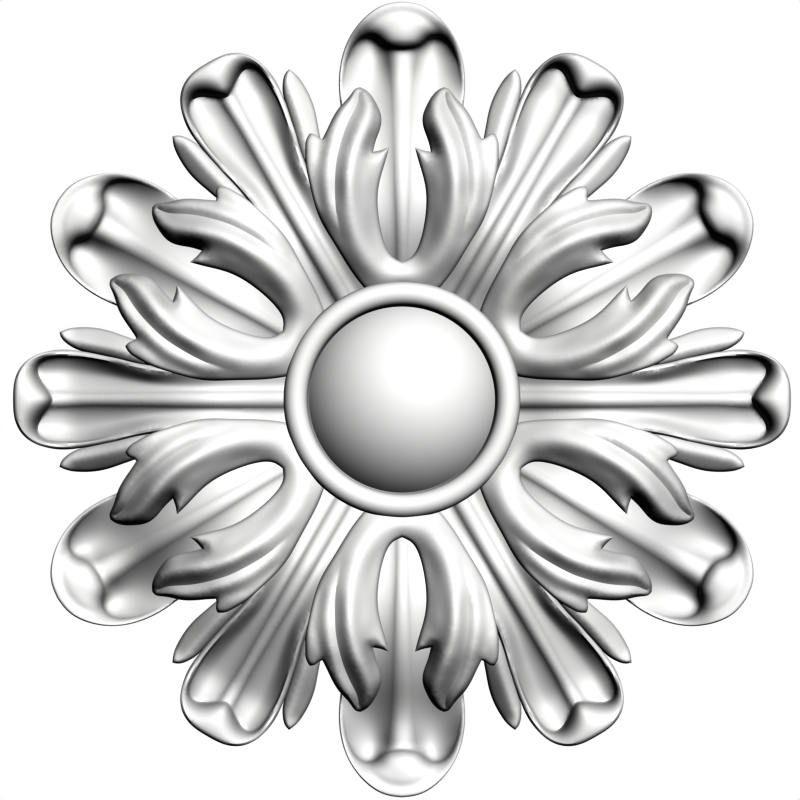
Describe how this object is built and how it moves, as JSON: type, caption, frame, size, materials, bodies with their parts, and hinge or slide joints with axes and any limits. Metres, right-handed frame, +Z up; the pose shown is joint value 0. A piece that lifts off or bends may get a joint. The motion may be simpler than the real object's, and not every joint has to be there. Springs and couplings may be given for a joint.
{
  "type": "carved rosette",
  "caption": "Round carved flower rosette: a domed boss in a ring, spoon-shaped petals with curled tips, small leaves and two-armed acanthus forks. Flat back.",
  "frame": {"origin": "centre of the flat back, on the rosette's axis", "axes": "-Y out of the wall towards the viewer, +Z up along a wide petal, +X to the viewer's right"},
  "size_m": [0.1956, 0.033, 0.2],
  "materials": {
    "white_satin_paint": "carved wood under white satin paint"
  },
  "bodies": {
    "root": {"rosette": "white_satin_paint"}
  },
  "joints": []
}
